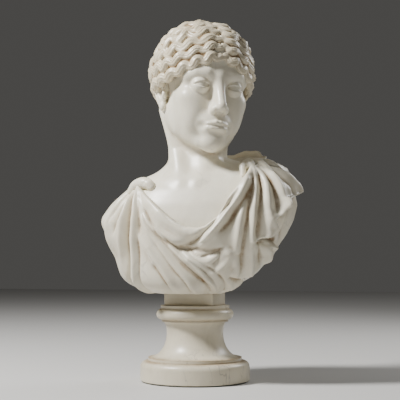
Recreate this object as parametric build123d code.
from build123d import *
import os
from math import copysign, cos, pi, sin

# Draped marble bust on a turned marble socle, life size, in millimetres.
# The origin is on the floor at the socle's axis, +Z is up and the chest faces -Y.
# The socle is three turned rings held on a threaded rod that is grouted into the bust.
# The bust can be turned on the socle about that rod. The head, neck and bare breast are
# one carving, bedded in a socket in the draped chest with the seam under the cloth's edge.

# Felt under the socle, set in from the bottom disc's edge
felt_inset = 5.0
felt_thickness = 2.0

# Bottom disc of the socle
disc_radius = 100.0
disc_height = 35.5
disc_rounding = 10.5
disc_foot_break = 1.5
recess_radius = 24.0
recess_depth = 18.0

# Waisted drum of the socle, which leaves a ledge on the disc round its foot
drum_height = 74.5
disc_ledge = 14.5
drum_foot_height = 6.5
drum_lip_radius = 61.0
drum_lip_height = 3.7
waist_radius = 51.8
waist_below_lip = 21.0
waist_inset = 1.5

# Collar ring of the socle: a half-round moulding with a flat fillet on top
torus_height = 20.0
torus_reach = 70.8
fillet_radius = 63.0
fillet_height = 6.0

# Threaded rod and what runs on it
rod_radius = 6.0
rod_end_above_floor = 3.5
rod_depth_in_chest = 90.0
rod_clearance = 0.5
grout_thickness = 3.0
turning_washer_radius = 28.0
turning_washer_thickness = 2.0
turning_washer_stand = 0.4
slip_washer_radius = 18.0
slip_washer_thickness = 2.0
flat_washer_radius = 18.5
flat_washer_thickness = 2.5
nut_across_flats = 19.0
nut_height = 10.8

# Rectangular block between the socle and the chest
block_width = 92.0
block_depth = 80.0
block_height = 22.0
block_edge_break = 1.5

# Draped chest: overall sizes, and the shape of its level sections as
# (height, left, right, front, back), each a share of the overall size it belongs to
chest_height = 242.0
chest_left = 182.0
chest_right = 200.0
chest_front = 113.0
chest_back = 94.0
chest_sections = [
    (0.000, 0.40, 0.32, 0.78, 0.50),
    (0.040, 0.62, 0.44, 0.87, 0.54),
    (0.100, 0.74, 0.56, 0.92, 0.59),
    (0.190, 0.80, 0.68, 0.96, 0.67),
    (0.290, 0.84, 0.78, 0.98, 0.76),
    (0.415, 0.93, 0.84, 1.00, 0.87),
    (0.540, 1.00, 0.91, 0.97, 0.96),
    (0.660, 0.93, 0.98, 0.90, 1.00),
    (0.765, 0.81, 1.00, 0.80, 0.95),
    (0.855, 0.66, 0.95, 0.66, 0.82),
    (0.930, 0.49, 0.82, 0.51, 0.70),
    (1.000, 0.34, 0.65, 0.38, 0.56),
]
section_points = 20
section_squareness = 0.88

# Hollows in the back, one each side of an upright pillar
front_wall = 38.0
side_wall = 28.0
pillar_width = 84.0
hollow_top = 146.0
hollow_span = 118.0
hollow_springing = 62.0
past_the_back = 60.0

# Socket in the chest for the carving of head, neck and breast:
# (x, y, half width, half depth) at the socket's floor and at the top of the chest
socket_floor = 120.0
socket_at_floor = (5.0, -58.0, 56.0, 42.0)
socket_at_top = (0.0, -20.0, 84.0, 92.0)
bed_thickness = 3.0
dowel_radius = 8.0
dowel_depth = 40.0

# Neck: (height from the chest's top, x, y, half width, half depth)
neck_sections = [
    (-52.0, 0.0, 2.0, 60.0, 58.0),
    (-17.0, 2.0, 2.0, 57.0, 58.0),
    (20.0, 6.0, 0.0, 53.0, 56.0),
    (58.0, 10.0, 2.0, 53.0, 58.0),
    (103.0, 12.0, 6.0, 56.0, 62.0),
]

# Head: the place of its middle, with the height from the chest's top, its turn and
# tilt in degrees, and the half sizes of the hair's mass and its place on the head
head_place = (13.0, -12.0, 137.0)
head_turn = 38.0
head_tilt = 5.0
hair_half_width = 93.0
hair_half_depth = 108.0
hair_half_height = 98.0
hair_back = 6.0
hair_up = 26.0
# Face sections: (height from the head's middle, y, half width, half depth)
face_sections = [
    (-112.0, -66.0, 24.0, 22.0),
    (-90.0, -46.0, 44.0, 46.0),
    (-58.0, -26.0, 58.0, 68.0),
    (-15.0, -8.0, 68.0, 90.0),
    (30.0, 0.0, 73.0, 98.0),
    (62.0, 4.0, 72.0, 94.0),
]

# Sizes taken from their neighbours', then the stacked pieces' heights above the floor
felt_radius = disc_radius - felt_inset
drum_foot_radius = disc_radius - disc_ledge
disc_foot = felt_thickness
drum_foot = disc_foot + disc_height
collar_foot = drum_foot + drum_height
collar_height = torus_height + fillet_height
collar_top = collar_foot + collar_height
block_foot = collar_top + turning_washer_stand
chest_foot = block_foot + block_height
chest_top = chest_foot + chest_height
rod_top = chest_foot + rod_depth_in_chest
recess_top = disc_foot + recess_depth
bore_radius = rod_radius + rod_clearance
grout_radius = rod_radius + grout_thickness


def rod_ring(foot, height, radius, bore):
    # A round plate with a round hole on the socle's axis.
    outline = Circle(radius) - Circle(bore)
    return extrude(Pos(0, 0, foot) * outline, height)


def post(x, y, foot, height, radius):
    # A plain upright cylinder.
    return extrude(Pos(x, y, foot) * Circle(radius), height)


def turned(*edges):
    # A ring turned about the socle's axis from the edges of half its section.
    return revolve(Plane.XZ * make_face(edges), Axis.Z)


def straight(*points):
    # The edges of a broken line.
    return Polyline(*points).edges()


def oval(x, y, half_width, half_depth, height):
    return Pos(x, y, height) * Ellipse(half_width, half_depth)


def level_section(height, left, right, front, back):
    # A closed curve with its own reach to each of four sides, squarer than an ellipse.
    points = []
    for k in range(section_points):
        turn = 2 * pi * k / section_points
        across, along = cos(turn), sin(turn)
        reach_x = right if across > 0 else left
        reach_y = back if along > 0 else front
        points.append((
            reach_x * copysign(abs(across) ** section_squareness, across),
            reach_y * copysign(abs(along) ** section_squareness, along),
        ))
    outline = Spline(*points, periodic=True)
    return Pos(0, 0, height) * make_face(outline.edges())


def felt_pad():
    return post(0, 0, 0, felt_thickness, felt_radius)


def base_disc():
    top = drum_foot
    shoulder = top - disc_rounding
    body = turned(
        *straight(
            (disc_radius - disc_rounding, top),
            (bore_radius, top),
            (bore_radius, disc_foot),
            (disc_radius - disc_foot_break, disc_foot),
            (disc_radius, disc_foot + disc_foot_break),
            (disc_radius, shoulder),
        ),
        CenterArc((disc_radius - disc_rounding, shoulder), disc_rounding, 0, 90),
    )
    return body - post(0, 0, disc_foot, recess_depth, recess_radius)


def waist_drum():
    # Two quarter ellipses meet at the waist: a short one above and a long one below.
    foot_top = drum_foot + drum_foot_height
    lip_foot = collar_foot - drum_lip_height
    waist = lip_foot - waist_below_lip
    lip_in = drum_lip_radius - waist_inset
    foot_in = drum_foot_radius - waist_inset
    upper = EllipticalCenterArc(
        (lip_in, waist), lip_in - waist_radius, waist_below_lip, 90, arc_size=90
    )
    lower = EllipticalCenterArc(
        (foot_in, waist), foot_in - waist_radius, waist - foot_top, 180, arc_size=90
    )
    outline = straight(
        (lip_in, lip_foot),
        (drum_lip_radius, lip_foot),
        (drum_lip_radius, collar_foot),
        (bore_radius, collar_foot),
        (bore_radius, drum_foot),
        (drum_foot_radius, drum_foot),
        (drum_foot_radius, foot_top),
        (foot_in, foot_top),
    )
    return turned(*outline, lower, upper)


def collar_ring():
    half = torus_height / 2
    centre = torus_reach - half
    moulding = turned(
        CenterArc((centre, collar_foot + half), half, -90, 180),
        *straight(
            (centre, collar_foot + torus_height),
            (bore_radius, collar_foot + torus_height),
            (bore_radius, collar_foot),
            (centre, collar_foot),
        ),
    )
    fillet_ring = rod_ring(collar_foot + half, half + fillet_height, fillet_radius, bore_radius)
    seat = turning_washer_thickness - turning_washer_stand
    return moulding + fillet_ring - post(0, 0, collar_top - seat, seat, turning_washer_radius)


def turning_washer():
    foot = block_foot - turning_washer_thickness
    return rod_ring(foot, turning_washer_thickness, turning_washer_radius, bore_radius)


def slip_washer():
    foot = recess_top - slip_washer_thickness
    return rod_ring(foot, slip_washer_thickness, slip_washer_radius, bore_radius)


def flat_washer():
    foot = recess_top - slip_washer_thickness - flat_washer_thickness
    return rod_ring(foot, flat_washer_thickness, flat_washer_radius, rod_radius)


def lock_nut():
    top = recess_top - slip_washer_thickness - flat_washer_thickness
    hexagon = RegularPolygon(nut_across_flats / 2, 6, major_radius=False) - Circle(rod_radius)
    return extrude(Pos(0, 0, top - nut_height) * hexagon, nut_height)


def threaded_rod():
    return post(0, 0, rod_end_above_floor, rod_top - rod_end_above_floor, rod_radius)


def rod_grout():
    return rod_ring(block_foot, rod_top - block_foot, grout_radius, rod_radius)


def support_block():
    body = extrude(Pos(0, 0, block_foot) * Rectangle(block_width, block_depth), block_height)
    body = chamfer(body.edges().filter_by(Axis.Z), block_edge_break)
    return body - post(0, 0, block_foot, block_height, grout_radius)


def chest_shape():
    # The whole chest with nothing taken out, lofted through its level sections.
    return loft([
        level_section(
            chest_foot + share * chest_height,
            left * chest_left,
            right * chest_right,
            front * chest_front,
            back * chest_back,
        )
        for share, left, right, front, back in chest_sections
    ])


def hollow_shape():
    # The inside of the chest's shell. It runs out past the back, which leaves it open there.
    kept = [row for row in chest_sections if row[0] * chest_height <= hollow_top + side_wall]
    return loft([
        level_section(
            chest_foot + share * chest_height,
            left * chest_left - side_wall,
            right * chest_right - side_wall,
            front * chest_front - front_wall,
            chest_back + past_the_back,
        )
        for share, left, right, front, back in kept[1:]
    ])


def arch(side):
    # An arched doorway beside the pillar, cut right through from front to back.
    inner = pillar_width / 2
    spring = chest_foot + hollow_springing
    rise = hollow_top - hollow_springing
    middle = inner + hollow_span / 2
    outline = make_face([
        *straight((inner, spring), (inner, chest_foot), (inner + hollow_span, chest_foot),
                  (inner + hollow_span, spring)),
        EllipticalCenterArc((middle, spring), hollow_span / 2, rise, 0, arc_size=180),
    ])
    through = chest_front + chest_back + past_the_back
    doorway = extrude(Plane.XZ * outline, through, both=True)
    return doorway if side > 0 else mirror(doorway, Plane.YZ)


def socket_shape(foot, top):
    # A leaning oval plug between two heights above the chest's foot.
    def slice_at(height):
        share = (height - socket_floor) / (chest_height - socket_floor)
        x, y, half_width, half_depth = (
            low + share * (high - low) for low, high in zip(socket_at_floor, socket_at_top)
        )
        return oval(x, y, half_width, half_depth, chest_foot + height)

    return loft([slice_at(foot), slice_at(top)])


def neck_shape():
    return loft([
        oval(x, y, half_width, half_depth, chest_top + height)
        for height, x, y, half_width, half_depth in neck_sections
    ])


def draped_chest(whole, neck):
    inside = hollow_shape()
    shell = whole - (inside & arch(1)) - (inside & arch(-1))
    shell = shell - socket_shape(socket_floor, chest_height + bed_thickness) - neck
    shell -= post(0, 0, chest_foot, rod_depth_in_chest, grout_radius)
    x, y = socket_at_floor[:2]
    return shell - post(x, y, chest_foot + socket_floor - dowel_depth, dowel_depth, dowel_radius)


def neck_bed():
    bed = socket_shape(socket_floor, socket_floor + bed_thickness)
    x, y = socket_at_floor[:2]
    return bed - post(x, y, chest_foot + socket_floor, bed_thickness, dowel_radius)


def neck_dowel():
    x, y = socket_at_floor[:2]
    foot = chest_foot + socket_floor - dowel_depth
    return post(x, y, foot, 2 * dowel_depth + bed_thickness, dowel_radius)


def head_shape():
    mass = scale(
        Sphere(1), by=(hair_half_width, hair_half_depth, hair_half_height)
    )
    face = loft([
        oval(0, y, half_width, half_depth, height)
        for height, y, half_width, half_depth in face_sections
    ])
    x, y, height = head_place
    place = Pos(x, y, chest_top + height) * Rot(0, head_tilt, 0) * Rot(0, 0, head_turn)
    return place * (Pos(0, hair_back, hair_up) * mass + face)


def head_and_neck(whole, neck):
    breast = whole & socket_shape(socket_floor + bed_thickness, chest_height)
    body = breast + neck + head_shape()
    x, y = socket_at_floor[:2]
    foot = chest_foot + socket_floor + bed_thickness
    return body - post(x, y, foot, dowel_depth, dowel_radius)


chest = chest_shape()
neck_column = neck_shape()
pieces = {
    "felt_pad": felt_pad(),
    "base_disc": base_disc(),
    "waist_drum": waist_drum(),
    "collar_ring": collar_ring(),
    "turning_washer": turning_washer(),
    "slip_washer": slip_washer(),
    "flat_washer": flat_washer(),
    "lock_nut": lock_nut(),
    "threaded_rod": threaded_rod(),
    "rod_grout": rod_grout(),
    "support_block": support_block(),
    "draped_chest": draped_chest(chest, neck_column),
    "neck_bed": neck_bed(),
    "neck_dowel": neck_dowel(),
    "head_and_neck": head_and_neck(chest, neck_column),
}
os.makedirs("parts", exist_ok=True)
for name, shape in pieces.items():
    export_step(shape, f"parts/{name}.step")
